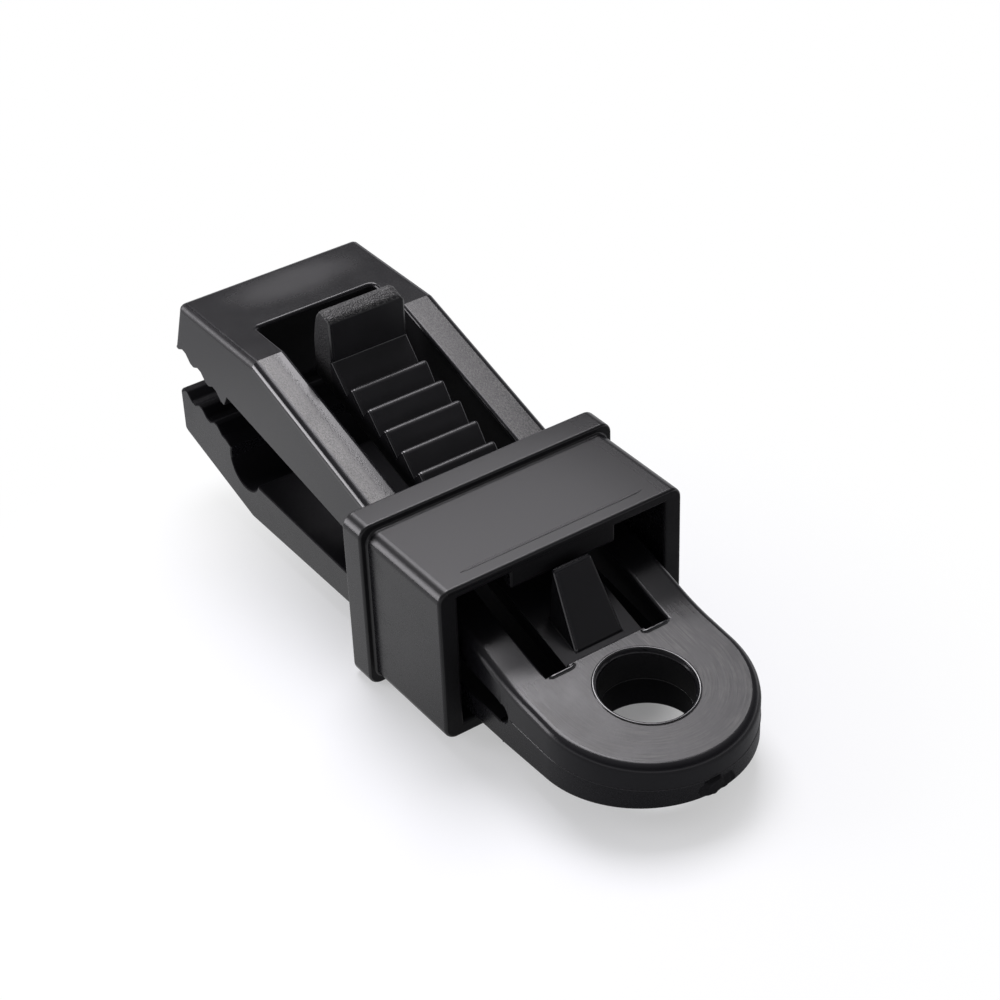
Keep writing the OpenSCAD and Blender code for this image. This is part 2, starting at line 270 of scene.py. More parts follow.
def solid_of(node):
    """A welded copy of a solid of the frame, with whole flat faces."""
    solid = bmesh.new()
    solid.from_mesh(frame["nodes"][node].data)
    tidy(solid)
    return solid


def tidy(solid):
    bmesh.ops.remove_doubles(solid, verts=solid.verts, dist=WELD)
    bmesh.ops.dissolve_limit(solid, angle_limit=FLAT, verts=solid.verts, edges=solid.edges)


def all_of(solid):
    return solid.verts[:] + solid.edges[:] + solid.faces[:]


def half_of(node, point, normal):
    """The part of a solid that lies behind a plane, closed along the cut."""
    solid = solid_of(node)
    cut = bmesh.ops.bisect_plane(solid, geom=all_of(solid), dist=WELD, plane_co=point,
                                 plane_no=normal, clear_outer=True)
    rim = [item for item in cut["geom_cut"] if isinstance(item, bmesh.types.BMEdge)]
    bmesh.ops.triangle_fill(solid, edges=rim, use_beauty=True)
    bmesh.ops.recalc_face_normals(solid, faces=solid.faces)
    tidy(solid)
    return solid


def lengthen(solid, on_end, step):
    """Moves the corners that lie on an end face."""
    for vertex in solid.verts:
        if on_end(vertex.co):
            vertex.co += step


def object_of(name, solid):
    mesh = bpy.data.meshes.new(name)
    solid.to_mesh(mesh)
    solid.free()
    made = bpy.data.objects.new(name, mesh)
    bpy.context.scene.collection.objects.link(made)
    return made


def settle(made):
    """Puts the result of an object's modifiers into its mesh."""
    shown = made.evaluated_get(bpy.context.evaluated_depsgraph_get())
    mesh = bpy.data.meshes.new_from_object(shown)
    made.modifiers.clear()
    made.data = mesh


def united(first, second):
    """One solid from two that overlap."""
    base = object_of("united", first)
    added = object_of("added", second)
    join = base.modifiers.new("join", "BOOLEAN")
    join.operation = "UNION"
    join.solver = "EXACT"
    join.object = added
    settle(base)
    whole = bmesh.new()
    whole.from_mesh(base.data)
    bpy.data.objects.remove(base)
    bpy.data.objects.remove(added)
    tidy(whole)
    return whole


def edge_facts(edge):
    first, second = edge.link_faces
    ends = [vertex.co for vertex in edge.verts]
    run = max(edge.calc_length(), WELD)
    return EdgeFacts(
        middle=(ends[0] + ends[1]) / 2, along=(ends[1] - ends[0]) / run,
        normals=(first.normal, second.normal), turn=math.degrees(edge.calc_face_angle(0)),
        convex=edge.is_convex)


def rounded(name, solid, radius_of, creases=(), segments=4):
    """An object with each edge rounded to the radius that radius_of gives for it.

    Shallow edges near the x places in creases stay crisp, and all others are smooth."""
    solid.normal_update()
    radii = {edge.index: radius_of(edge_facts(edge)) if len(edge.link_faces) == 2 else 0
             for edge in solid.edges}
    widest = max(radii.values())
    weight = solid.edges.layers.float.new("bevel_weight_edge")
    for edge in solid.edges:
        edge[weight] = radii[edge.index] / widest
    made = object_of(name, solid)
    bevel = made.modifiers.new("edges", "BEVEL")
    bevel.limit_method = "WEIGHT"
    bevel.width = widest
    bevel.segments = segments
    bevel.use_clamp_overlap = False
    settle(made)
    made.data.shade_smooth()
    keep_crisp(made.data, creases)
    normals = made.modifiers.new("normals", "WEIGHTED_NORMAL")
    normals.weight = 100
    normals.keep_sharp = True
    settle(made)
    return made


def keep_crisp(mesh, creases):
    """Marks the unrounded edges as sharp, and the shallow ones across the body at these x places."""
    net = bmesh.new()
    net.from_mesh(mesh)
    for edge in net.edges:
        if len(edge.link_faces) == 2:
            facts = edge_facts(edge)
            near = any(abs(facts.middle.x - x) < CREASE_REACH for x in creases)
            crease = near and facts.turn > CREASE_TURN and abs(facts.along.x) < 0.4
            edge.smooth = not (crease or facts.turn > SHARP_TURN)
    net.to_mesh(mesh)
    net.free()


def is_smooth(edge):
    """True on a flat face, between two facets of a round stretch and at a shallow crease."""
    return edge.turn < ARC_TURN


def from_spine(point):
    """Distance on plan from the body's middle line, which ends in the middle of its round end."""
    return math.hypot(max(point.x - TAIL_ROUND_X, 0), point.y)


def from_eye(point):
    """Distance on plan from the middle of the rope eye."""
    return math.hypot(point.x - EYE.x, point.y)


def on_outline(point):
    """True on the upright outer wall of the body."""
    return from_spine(point) > HALF_W - NEAR


def up_share(edge):
    """How far the edge's two faces look up: the more upward one, then the other."""
    return sorted((normal.z for normal in edge.normals), reverse=True)


def on_rounding(point):
    """True on the rounded upper edge of the body."""
    return from_spine(point) > HALF_W - 0.9 * bpy.context.scene.clip_shape.outer_edge


def at_root(node):
    """A test for the corners of a solid that lie on its root, the slanting plane through the bend."""
    across = Vector((BEND.z - HINGE.z, 0, HINGE.x - BEND.x)).normalized()
    root = max(p.dot(across) for p in node_points(node))
    return lambda p: p.dot(across) > root - NEAR


def cut_across(solid, x):
    """Adds a line of edges round the body at an x place."""
    bmesh.ops.bisect_plane(solid, geom=all_of(solid), dist=WELD, plane_co=(x, 0, 0),
                           plane_no=(1, 0, 0))


def soften_bend(solid, reach, steps=8):
    """Turns the crease between the rails and the tail's plate into a round bend."""
    for step in range(steps + 1):
        cut_across(solid, BEND.x + reach * (2 * step / steps - 1))
    turn = -RAIL_DOWN.z / RAIL_DOWN.x - PLATE_FALL
    for vertex in solid.verts:
        past = vertex.co.x - BEND.x
        plate = on_plate(vertex.co.x, vertex.co.y).z
        if abs(past) < reach and abs(vertex.co.z - plate - turn * max(-past, 0)) < 0.03 * MM:
            vertex.co.z = plate + turn * (reach - past) ** 2 / (4 * reach)


def on_plate(x, y):
    """The point of the tail's upper face over a place of the plan."""
    return Vector((x, y, BEND.z - PLATE_FALL * (x - BEND.x)))


def on_parting(shape, x, y):
    """The point of the parting plane over a place of the plan."""
    point, normal = parting_plane(shape)
    return Vector((x, y, point.z - (x - point.x) * normal.x / normal.z))


def bead(name, path, half_width, rise, sides=8):
    """A thin bead along a level path, closed on itself or tapered at both ends."""
    solid = bmesh.new()
    rings = []
    last = len(path) - 1
    closed = (path[last] - path[0]).length < WELD
    for step, point in enumerate(path):
        ahead = path[min(step + 1, last)] - path[max(step - 1, 0)]
        if closed and step in (0, last):
            ahead = path[1] - path[last - 1]
        ahead.normalize()
        out = ahead.cross(Vector((0, 0, 1))).normalized()
        up = out.cross(ahead)
        end = 0.3 if step in (0, last) and not closed else 1
        wide, high = end * half_width * out, end * rise * up
        rings.append([solid.verts.new(point + wide * math.cos(a) + high * math.sin(a))
                      for a in (math.tau * side / sides for side in range(sides))])
    for first, second in zip(rings, rings[1:]):
        for side in range(sides):
            solid.faces.new((first[side - 1], first[side], second[side], second[side - 1]))
    if closed:
        bmesh.ops.remove_doubles(solid, verts=rings[0] + rings[-1], dist=WELD)
    else:
        solid.faces.new(rings[0])
        solid.faces.new(rings[-1])
    bmesh.ops.recalc_face_normals(solid, faces=solid.faces)
    made = object_of(name, solid)
    made.data.shade_smooth()
    return made


def parting_plane(shape):
    """A point and the upward normal of the plane that parts the tail's two halves."""
    fall = shape.parting_fall
    return HINGE + Vector((SLIT_R, 0, 0)), Vector((math.sin(fall), 0, math.cos(fall)))


# Materials

def feed(node, values):
    """Sets or links a node's sockets, found by name or number."""
    for socket, value in values.items():
        if isinstance(value, bpy.types.NodeSocket):
            node.id_data.links.new(value, node.inputs[socket])
        else:
            node.inputs[socket].default_value = value
    return node


def add(tree, kind, values=None, **settings):
    """A new node with its settings, and its sockets set or linked."""
    node = tree.nodes.new(kind)
    for setting, value in settings.items():
        setattr(node, setting, value)
    return feed(node, values or {})


def maths(tree, operation, *values):
    """The result of a sum on numbers."""
    return add(tree, "ShaderNodeMath", dict(enumerate(values)), operation=operation).outputs[0]


def vectors(tree, operation, *values):
    """The outputs of a sum on vectors, a Vector or a Value."""
    return add(tree, "ShaderNodeVectorMath", dict(enumerate(values)), operation=operation).outputs


def ranged(tree, value, start, stop, low=0.0, high=1.0, ease="LINEAR"):
    """A number carried from one range to another, and held at its ends."""
    carried = add(tree, "ShaderNodeMapRange", {"Value": value, "From Min": start, "From Max": stop,
                                               "To Min": low, "To Max": high}, interpolation_type=ease)
    return carried.outputs["Result"]


def between(tree, factor, first, second):
    """A number between two by a factor."""
    return add(tree, "ShaderNodeMix", {0: factor, 2: first, 3: second}).outputs[0]


def tinted(tree, mask, dark, light):
    """A colour between two by a mask."""
    mix = add(tree, "ShaderNodeMix", {"Factor": mask, "A": (*dark, 1), "B": (*light, 1)},
              data_type="RGBA")
    return mix.outputs["Result"]


def times(factor, base):
    """A colour made lighter or darker."""
    return [factor * v for v in base]


def noisy(tree, vector, scale, detail, roughness=0.5):
    cloud = add(tree, "ShaderNodeTexNoise", {"Vector": vector, "Scale": scale, "Detail": detail,
                                             "Roughness": roughness})
    return cloud.outputs["Fac"]


def bumped(tree, height, strength, depth=0.02 * MM):
    """A normal that follows a height."""
    bump = add(tree, "ShaderNodeBump", {"Height": height, "Strength": strength, "Distance": depth})
    return bump.outputs["Normal"]


def node_group(name, inputs):
    """A new shader node group that reads a position and named numbers, with these as its sockets."""
    tree = bpy.data.node_groups.new(name, "ShaderNodeTree")
    tree.interface.new_socket("Position", in_out="INPUT", socket_type="NodeSocketVector")
    for socket, value in inputs.items():
        made = tree.interface.new_socket(socket, in_out="INPUT", socket_type="NodeSocketFloat")
        made.default_value = value
    return tree, tree.nodes.new("NodeGroupInput").outputs


def put_out(tree, results):
    """Gives a node group its named outputs."""
    for socket in results:
        tree.interface.new_socket(socket, in_out="OUTPUT", socket_type="NodeSocketFloat")
    feed(tree.nodes.new("NodeGroupOutput"), results)
    return tree


def place_group(tree, build, position, values):
    """The outputs of a node group in a material, with its own values. The first use builds the group."""
    group = bpy.data.node_groups.get(build.__name__) or build()
    return add(tree, "ShaderNodeGroup", {"Position": position, **values}, node_tree=group).outputs


def moulded_skin():
    """Fine moulded grain with slow mottling: a roughness, a height and a tone."""
    tree, given = node_group("moulded_skin", {"Grain": 4000, "Smoothest": 0.3, "Roughest": 0.45})
    grain = noisy(tree, given["Position"], given["Grain"], 3.0)
    mottle = noisy(tree, given["Position"], 300.0, 4.0)
    rough = ranged(tree, maths(tree, "ADD", grain, mottle), 0.75, 1.25, given["Smoothest"],
                   given["Roughest"])
    return put_out(tree, {"Roughness": rough, "Height": grain, "Tone": mottle})


def drag_marks():
    """Fine rub marks that run along the body and round its end: a mark, a height and the worn stretch.

    They begin at Start X, and come up across the body from none at Bare Y to all at Full Y; on the left rail that
    rise spreads a painted highlight."""
    tree, given = node_group("drag_marks", {"Across": 4800, "Along": 280, "Cover": 0.5, "Patch": 1.0,
                                            "Start X": -1.0, "Bare Y": 1.0, "Full Y": 0.9})
    split = add(tree, "ShaderNodeSeparateXYZ", {0: given["Position"]}).outputs
    bowed = maths(tree, "MAXIMUM", maths(tree, "SUBTRACT", split["X"], TAIL_ROUND_X), 0.0)
    flat = add(tree, "ShaderNodeCombineXYZ", {"X": bowed, "Y": split["Y"]}).outputs[0]
    spread = vectors(tree, "LENGTH", flat)["Value"]
    warped = add(tree, "ShaderNodeCombineXYZ", {
        "X": maths(tree, "MULTIPLY", split["X"], given["Along"]),
        "Y": maths(tree, "MULTIPLY", spread, given["Across"]),
        "Z": maths(tree, "MULTIPLY", split["Y"], given["Along"])})
    streaks = noisy(tree, warped.outputs[0], 1.0, 4.0, 0.6)
    clouds = noisy(tree, given["Position"], 240.0, 5.0, 0.65)
    spotted = between(tree, given["Patch"], 0.75, ranged(tree, clouds, 0.38, 0.62, 0.1, 1.4))
    mark = ranged(tree, streaks, given["Cover"], 0.75, 0.0, spotted)
    uneven = between(tree, maths(tree, "MULTIPLY", given["Patch"], 0.68), streaks, clouds)
    begun = maths(tree, "SUBTRACT", split["X"], given["Start X"])
    kept = ranged(tree, begun, -2.5 * MM, 3 * MM, ease="SMOOTHSTEP")
    strayed = maths(tree, "MULTIPLY_ADD", streaks, 3 * MM, split["Y"])
    leant = ranged(tree, strayed, given["Bare Y"], given["Full Y"], ease="SMOOTHSTEP")
    worn = maths(tree, "MULTIPLY", kept, leant)
    return put_out(tree, {"Mark": maths(tree, "MULTIPLY", mark, worn), "Height": uneven, "Worn": worn})


def pebble():
    """Coarse spark-eroded pebbling: a height and a speck mask."""
    tree, given = node_group("pebble", {"Size": 5500})
    cells = add(tree, "ShaderNodeTexVoronoi", {"Vector": given["Position"], "Scale": given["Size"],
                                               "Smoothness": 0.6}, feature="SMOOTH_F1")
    away = cells.outputs["Distance"]
    return put_out(tree, {"Height": away, "Speck": ranged(tree, away, 0.15, 0.55, 1.0, 0.0)})


def blank_plastic(name):
    """A material with its shader, and the position on the piece that its nodes read."""
    material = bpy.data.materials.new(name)
    material.use_nodes = True
    tree = material.node_tree
    tree.nodes.clear()
    shader = tree.nodes.new("ShaderNodeBsdfPrincipled")
    add(tree, "ShaderNodeOutputMaterial", {"Surface": shader.outputs["BSDF"]})
    position = tree.nodes.new("ShaderNodeTexCoord").outputs["Object"]
    return material, tree, shader, position


def satin_plastic(name, base, smoothest, roughest, relief=0.15, specular=0.5):
    """Plain moulded plastic: fine grain over slow mottling."""
    material, tree, shader, position = blank_plastic(name)
    skin = place_group(tree, moulded_skin, position, {"Smoothest": smoothest, "Roughest": roughest})
    feed(shader, {"Base Color": tinted(tree, skin["Tone"], base, times(1.6, base)),
                  "Roughness": skin["Roughness"], "Specular IOR Level": specular,
                  "Normal": bumped(tree, skin["Height"], relief)})
    return material


def matt_plastic(name, base, specular=0.2):
    """Dull plastic of the inner faces, as the mould's cores leave it."""
    material, tree, shader, position = blank_plastic(name)
    skin = place_group(tree, moulded_skin, position, {"Smoothest": 0.5, "Roughest": 0.65})
    feed(shader, {"Base Color": (*base, 1), "Roughness": skin["Roughness"],
                  "Specular IOR Level": specular, "Normal": bumped(tree, skin["Height"], 0.15)})
    return material


def scuffed_plastic(name, base, scuff, smoothest, roughest, cover, patch, along=280, across=4800,
                    start_x=-1.0, calm=0.2, lean=(1.0, 0.9)):
    """Plastic rubbed along the body: paler, rougher streaks, and a calm gloss before start_x.

    The rubbing comes up across the body, from none at the first y place of lean to all at the second. Where the
    scuff colour is raised, as on the rails, the streaks are partly painted highlight."""
    material, tree, shader, position = blank_plastic(name)
    marks = place_group(tree, drag_marks, position,
                        {"Cover": cover, "Along": along, "Across": across, "Patch": patch,
                         "Start X": start_x, "Bare Y": lean[0], "Full Y": lean[1]})
    rubbed = ranged(tree, marks["Height"], 0.39, 0.61, smoothest, roughest)
    height = maths(tree, "MULTIPLY", marks["Height"], marks["Worn"])
    feed(shader, {"Base Color": tinted(tree, marks["Mark"], base, scuff),
                  "Roughness": between(tree, marks["Worn"], calm, rubbed),
                  "Normal": bumped(tree, height, 0.6, 0.03 * MM)})
    return material


def rubbed_plastic(name, base, middle, reach, inner, outer, wander=0.0):
    """Plain plastic with a soft patch rubbed dull round a middle, of a reach along each axis."""
    material, tree, shader, position = blank_plastic(name)
    skin = place_group(tree, moulded_skin, position, {"Smoothest": -wander, "Roughest": wander})
    away = vectors(tree, "SUBTRACT", position, middle)["Vector"]
    spread = vectors(tree, "LENGTH", vectors(tree, "DIVIDE", away, reach)["Vector"])["Value"]
    rubbed = ranged(tree, spread, 0.2, 1.2, inner, outer, ease="SMOOTHSTEP")
    feed(shader, {"Base Color": (*base, 1), "Roughness": maths(tree, "ADD", rubbed, skin["Roughness"]),
                  "Normal": bumped(tree, skin["Height"], 0.03)})
    return material


def pebbled_plastic(name, base, scuff):
    """Coarse pebbled plastic of the thumb tab."""
    material, tree, shader, position = blank_plastic(name)
    skin = place_group(tree, moulded_skin, position,
                       {"Grain": 5000, "Smoothest": 0.45, "Roughest": 0.6})
    bumps = place_group(tree, pebble, position, {"Size": 5500})
    feed(shader, {"Base Color": tinted(tree, bumps["Speck"], base, scuff),
                  "Roughness": skin["Roughness"],
                  "Normal": bumped(tree, bumps["Height"], 0.7, 0.09 * MM)})
    return material


def dress(made, materials, choose):
    """Gives each face of a piece the material that choose names for it."""
    names = list(materials)
    for name in names:
        made.data.materials.append(materials[name])
    for face in made.data.polygons:
        face.material_index = names.index(choose(face))


# Pieces

class CLIP_OT_upper_moulding(bpy.types.Operator):
    """Makes the upper arm with its rails, head and teeth, in one with the upper half of the tail"""

    bl_idname = "clip.upper_moulding"
    bl_label = "Upper moulding"

    def execute(self, context):
        shape = context.scene.clip_shape
        base = context.scene.clip_finish.body_colour
        scuff = context.scene.clip_finish.scuff_colour
        point, normal = parting_plane(shape)
        tail = half_of("tail_eye", point, -normal)
        arm = solid_of("upper_jaw")
        lengthen(arm, at_root("upper_jaw"), RAIL_DOWN * shape.root_lap)
        body = united(tail, arm)
        soften_bend(body, shape.bend_reach)
        cut_across(body, WORN_X)
        made = rounded("upper_moulding", body, lambda edge: self.radius(shape, edge), creases=(KNEE_X,))
        dress(made, {
            "side": satin_plastic("body_satin", base, 0.2, 0.26, relief=0.05, specular=0.36),
            "edge": satin_plastic("edge_satin", base, 0.14, 0.2, relief=0.02, specular=0.8),
            "head_edge": satin_plastic("head_edge_satin", base, 0.36, 0.46, relief=0.02, specular=0.4),
            "head": rubbed_plastic("head_satin", base, Vector((HEAD_FRONT_X + 4 * MM, MM, HEAD_Z)),
                                   Vector((4, 10, 4)) * MM, inner=0.38, outer=0.23, wander=0.02),
            # Painted highlight: the rails' streaks are paler than the plate's scuffs, partly real wear and partly
            # painted highlight. The left rail's take the scuff colour times 4.2 and come up from none at its inner
            # edge to all near its outer edge, and the right rail's take it times 2.6.
            "left_rail": scuffed_plastic("rail_wear_and_painted_highlight_left", base, times(4.2, scuff), 0.3, 0.48, cover=0.3,
                                         patch=0.2, along=4500, across=7000, calm=0.17,
                                         lean=(-WINDOW_HALF_W + 0.4 * MM, -HALF_W + 4 * MM)),
            "right_rail": scuffed_plastic("rail_wear_and_painted_highlight_right", base, times(2.6, scuff), 0.3, 0.47, cover=0.4,
                                          patch=0.2, along=4500, across=7000),
            "plate": scuffed_plastic("plate_scuffed", base, scuff, 0.29, 0.45, cover=0.38, patch=0.8,
                                     start_x=BEND.x),
            "inside": matt_plastic("upper_inside", base),
        }, self.finish_of)
        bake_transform(made)
        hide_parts("upper_jaw", "tail_eye")
        return {"FINISHED"}

    def radius(self, shape, edge):
        top, other = up_share(edge)
        middle = edge.middle
        if is_smooth(edge):
            return 0
        if other < -0.99 and middle.x > HINGE.x:
            return 0
        if from_eye(middle) < EYE_R + MM:
            return shape.eye_edge
        if top > MOSTLY and abs(other) < 0.3:
            if on_outline(middle):
                return shape.outer_edge
            if WINDOW_FRONT_X - WELD < middle.x < BEND.x - 0.1 * MM:
                return shape.window_edge
        front = max(abs(normal.x) for normal in edge.normals) > MOSTLY
        if front and middle.x < HEAD_FRONT_X + WELD and (top > MOSTLY or abs(edge.along.y) < 0.1):
            return shape.front_edge
        if middle.x < KNEE_X and middle.z < HEAD_Z - 4 * MM:
            return shape.bite_edge
        return shape.fine_edge

    def finish_of(self, face):
        middle, rise = face.center, face.normal.z
        if rise > FLUSH and middle.x < KNEE_X:
            return "head"
        if middle.x < WORN_X and face.normal.dot(RAIL_NORMAL) > FLUSH:
            return "left_rail" if middle.y < 0 else "right_rail"
        if middle.x > WORN_X and rise > 0.93 and not on_rounding(middle):
            return "plate"
        if middle.x < WORN_X and 0.15 < rise < 0.97 and on_rounding(middle):
            if middle.x < KNEE_X:
                return "head_edge"
            return "edge" if rise < 0.7 else "side"
        low = rise < -0.3 and middle.x < HINGE.x
        windowed = abs(middle.y) < WINDOW_HALF_W + WELD and middle.x < BEND.x
        walled = (windowed or from_eye(middle) < EYE_R + 0.1 * MM) and abs(rise) < 0.2
        return "inside" if low or walled else "side"


class CLIP_OT_lower_moulding(bpy.types.Operator):
    """Makes the lower arm with its teeth and hem groove, in one with the lower half of the tail"""

    bl_idname = "clip.lower_moulding"
    bl_label = "Lower moulding"

    def execute(self, context):
        shape = context.scene.clip_shape
        base = context.scene.clip_finish.body_colour
        point, normal = parting_plane(shape)
        tail = half_of("tail_eye", point, normal)
        arm = solid_of("lower_jaw")
        root = max(p.x for p in node_points("lower_jaw"))
        rising = Vector((1, 0, math.tan(math.radians(4))))
        lengthen(arm, lambda p: p.x > root - NEAR, rising * shape.root_lap)
        made = rounded("lower_moulding", united(tail, arm), lambda edge: self.radius(shape, edge))
        dress(made, {
            "side": satin_plastic("under_satin", base, 0.22, 0.32, relief=0.05, specular=0.3),
            "inside": matt_plastic("lower_inside", base, specular=0.07),
        }, self.finish_of)
        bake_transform(made)
        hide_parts("lower_jaw", "tail_eye")
        return {"FINISHED"}

    def finish_of(self, face):
        bored = from_eye(face.center) < EYE_R + 0.1 * MM
        return "inside" if bored or (face.normal.z > 0.1 and face.center.x < HINGE.x) else "side"

    def radius(self, shape, edge):
        top, other = up_share(edge)
        if is_smooth(edge):
            return 0
        if top > 0.99 and edge.middle.x > HINGE.x:
            return 0
        if from_eye(edge.middle) < EYE_R + MM:
            return shape.eye_edge
        if other < -0.8 and on_outline(edge.middle):
            return shape.under_edge
        if edge.middle.x < NOSE_X + MM:
            return shape.nose_edge
        if edge.middle.x < KNEE_X - 8 * MM:
            return shape.bite_edge
        return shape.fine_edge


class CLIP_OT_ratchet_tongue(bpy.types.Operator):
    """Makes the ratchet tongue with its saw teeth, thumb tab and stop barb"""

    bl_idname = "clip.ratchet_tongue"
    bl_label = "Ratchet tongue"

    def execute(self, context):
        shape = context.scene.clip_shape
        base = context.scene.clip_finish.body_colour
        scuff = context.scene.clip_finish.scuff_colour
        strip = solid_of("ratchet_tongue")
        lengthen(strip, at_root("ratchet_tongue"), RAIL_DOWN * shape.root_lap)
        lengthen(strip, lambda p: self.on_crest(shape, p), RAIL_NORMAL * shape.crest_lift)
        self.join_ridge(shape, strip)
        tab_end = TONGUE_LOW.x + shape.tab_length
        cut_across(strip, tab_end)
        made = rounded("ratchet_tongue_moulding", strip, lambda edge: self.radius(shape, edge))
        dress(made, {
            "strip": satin_plastic("tongue_satin", base, 0.15, 0.23, relief=0.02, specular=0.8),
            "flank": matt_plastic("tongue_flank", base),
            "ramp": satin_plastic("ramp_satin", base, 0.34, 0.42, relief=0.02),
            "barb": satin_plastic("barb_satin", base, 0.3, 0.4, relief=0.04, specular=0.25),
            "tab": pebbled_plastic("tab_pebbled", base, scuff),
            "tab_side": pebbled_plastic("tab_side_pebbled", base, times(0.15, scuff)),
        }, lambda face: self.finish_of(face, tab_end))
        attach(made, "tongue")
        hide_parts("ratchet_tongue")
        return {"FINISHED"}

    def on_crest(self, shape, point):
        past_tab = point.x > TONGUE_LOW.x + shape.tab_length + MM
        return past_tab and point.x < SLEEVE_HIGH.x and (point - BEND).dot(RAIL_NORMAL) > 0.7 * MM

    def join_ridge(self, shape, strip):
        """Draws the tab's top ridge together from the narrow flat and the facets in front of it."""
        top = TONGUE_HIGH.z
        for y in (TONGUE_LOW.y, TONGUE_HIGH.y):
            crown = [v for v in strip.verts if v.co.z > top - shape.tab_crown
                     and abs(v.co.y - y) < WELD]
            ridge = max((v for v in crown if v.co.z > top - WELD), key=lambda v: v.co.x)
            joined = {v: ridge for v in crown if v.co.x < ridge.co.x}
            bmesh.ops.weld_verts(strip, targetmap=joined)

    def radius(self, shape, edge):
        if is_smooth(edge):
            return 0
        middle = edge.middle
        right = middle.y > TONGUE_HIGH.y - NEAR
        left = middle.y < TONGUE_LOW.y + NEAR
        crosswise = abs(edge.along.y) > MOSTLY
        if middle.x < TONGUE_LOW.x + shape.tab_length + WELD:
            top = max(normal.z for normal in edge.normals)
            if right and top > 0.5:
                return shape.tab_corner
            if crosswise and middle.z > TONGUE_HIGH.z - WELD:
                return shape.tab_ridge
            if not edge.convex:
                return shape.tooth_root
            return shape.tab_roll if crosswise and middle.z > HEAD_Z else shape.tab_edge
        if not edge.convex:
            return shape.tooth_root
        if not (left or right) and middle.x > SLEEVE_HIGH.x - WELD:
            return shape.barb_edge
        if right:
            return shape.tooth_end
        return shape.tooth_side if left else shape.crest_edge

    def finish_of(self, face, tab_end):
        if face.center.x < tab_end and face.normal.y < -MOSTLY:
            return "tab_side"
        if face.center.x < tab_end and face.center.z > HEAD_Z and face.normal.z > 0.3:
            return "tab"
        if face.area > BROAD_FACE:
            broad = "barb" if face.center.x > WORN_X else "ramp"
            return "flank" if abs(face.normal.y) > MOSTLY else broad
        shaded = face.center.x > WORN_X and face.normal.y > -0.05 and face.center.z < BARB_TOP - MM
        return "barb" if shaded else "strip"


class CLIP_OT_lock_sleeve(bpy.types.Operator):
    """Makes the lock sleeve with its grip flange and pawl"""

    bl_idname = "clip.lock_sleeve"
    bl_label = "Lock sleeve"

    def execute(self, context):
        shape = context.scene.clip_shape
        base = context.scene.clip_finish.sleeve_colour
        made = rounded("lock_sleeve_moulding", solid_of("lock_sleeve"),
                       lambda edge: self.radius(shape, edge))
        dress(made, {
            "top": rubbed_plastic("sleeve_satin", base, Vector((WORN_X, -5 * MM, SLEEVE_TOP)),
                                  Vector((40, 20, 40)) * MM, inner=0.4, outer=0.25),
            "side": satin_plastic("sleeve_side_satin", base, 0.2, 0.3, relief=0.05, specular=0.3),
            "rear": matt_plastic("sleeve_rear", base),
        }, self.finish_of)
        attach(made, "sleeve")
        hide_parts("lock_sleeve")
        return {"FINISHED"}

    def finish_of(self, face):
        if face.normal.x > MOSTLY:
            return "rear"
        return "side" if abs(face.normal.y) > MOSTLY else "top"

    def radius(self, shape, edge):
        if is_smooth(edge):
            return 0
        if edge.middle.x > SLEEVE_HIGH.x - NEAR:
            return shape.sleeve_edge
        if edge.middle.x < SLEEVE_LOW.x + 6 * MM:
            return shape.flange_edge
        return shape.fine_edge


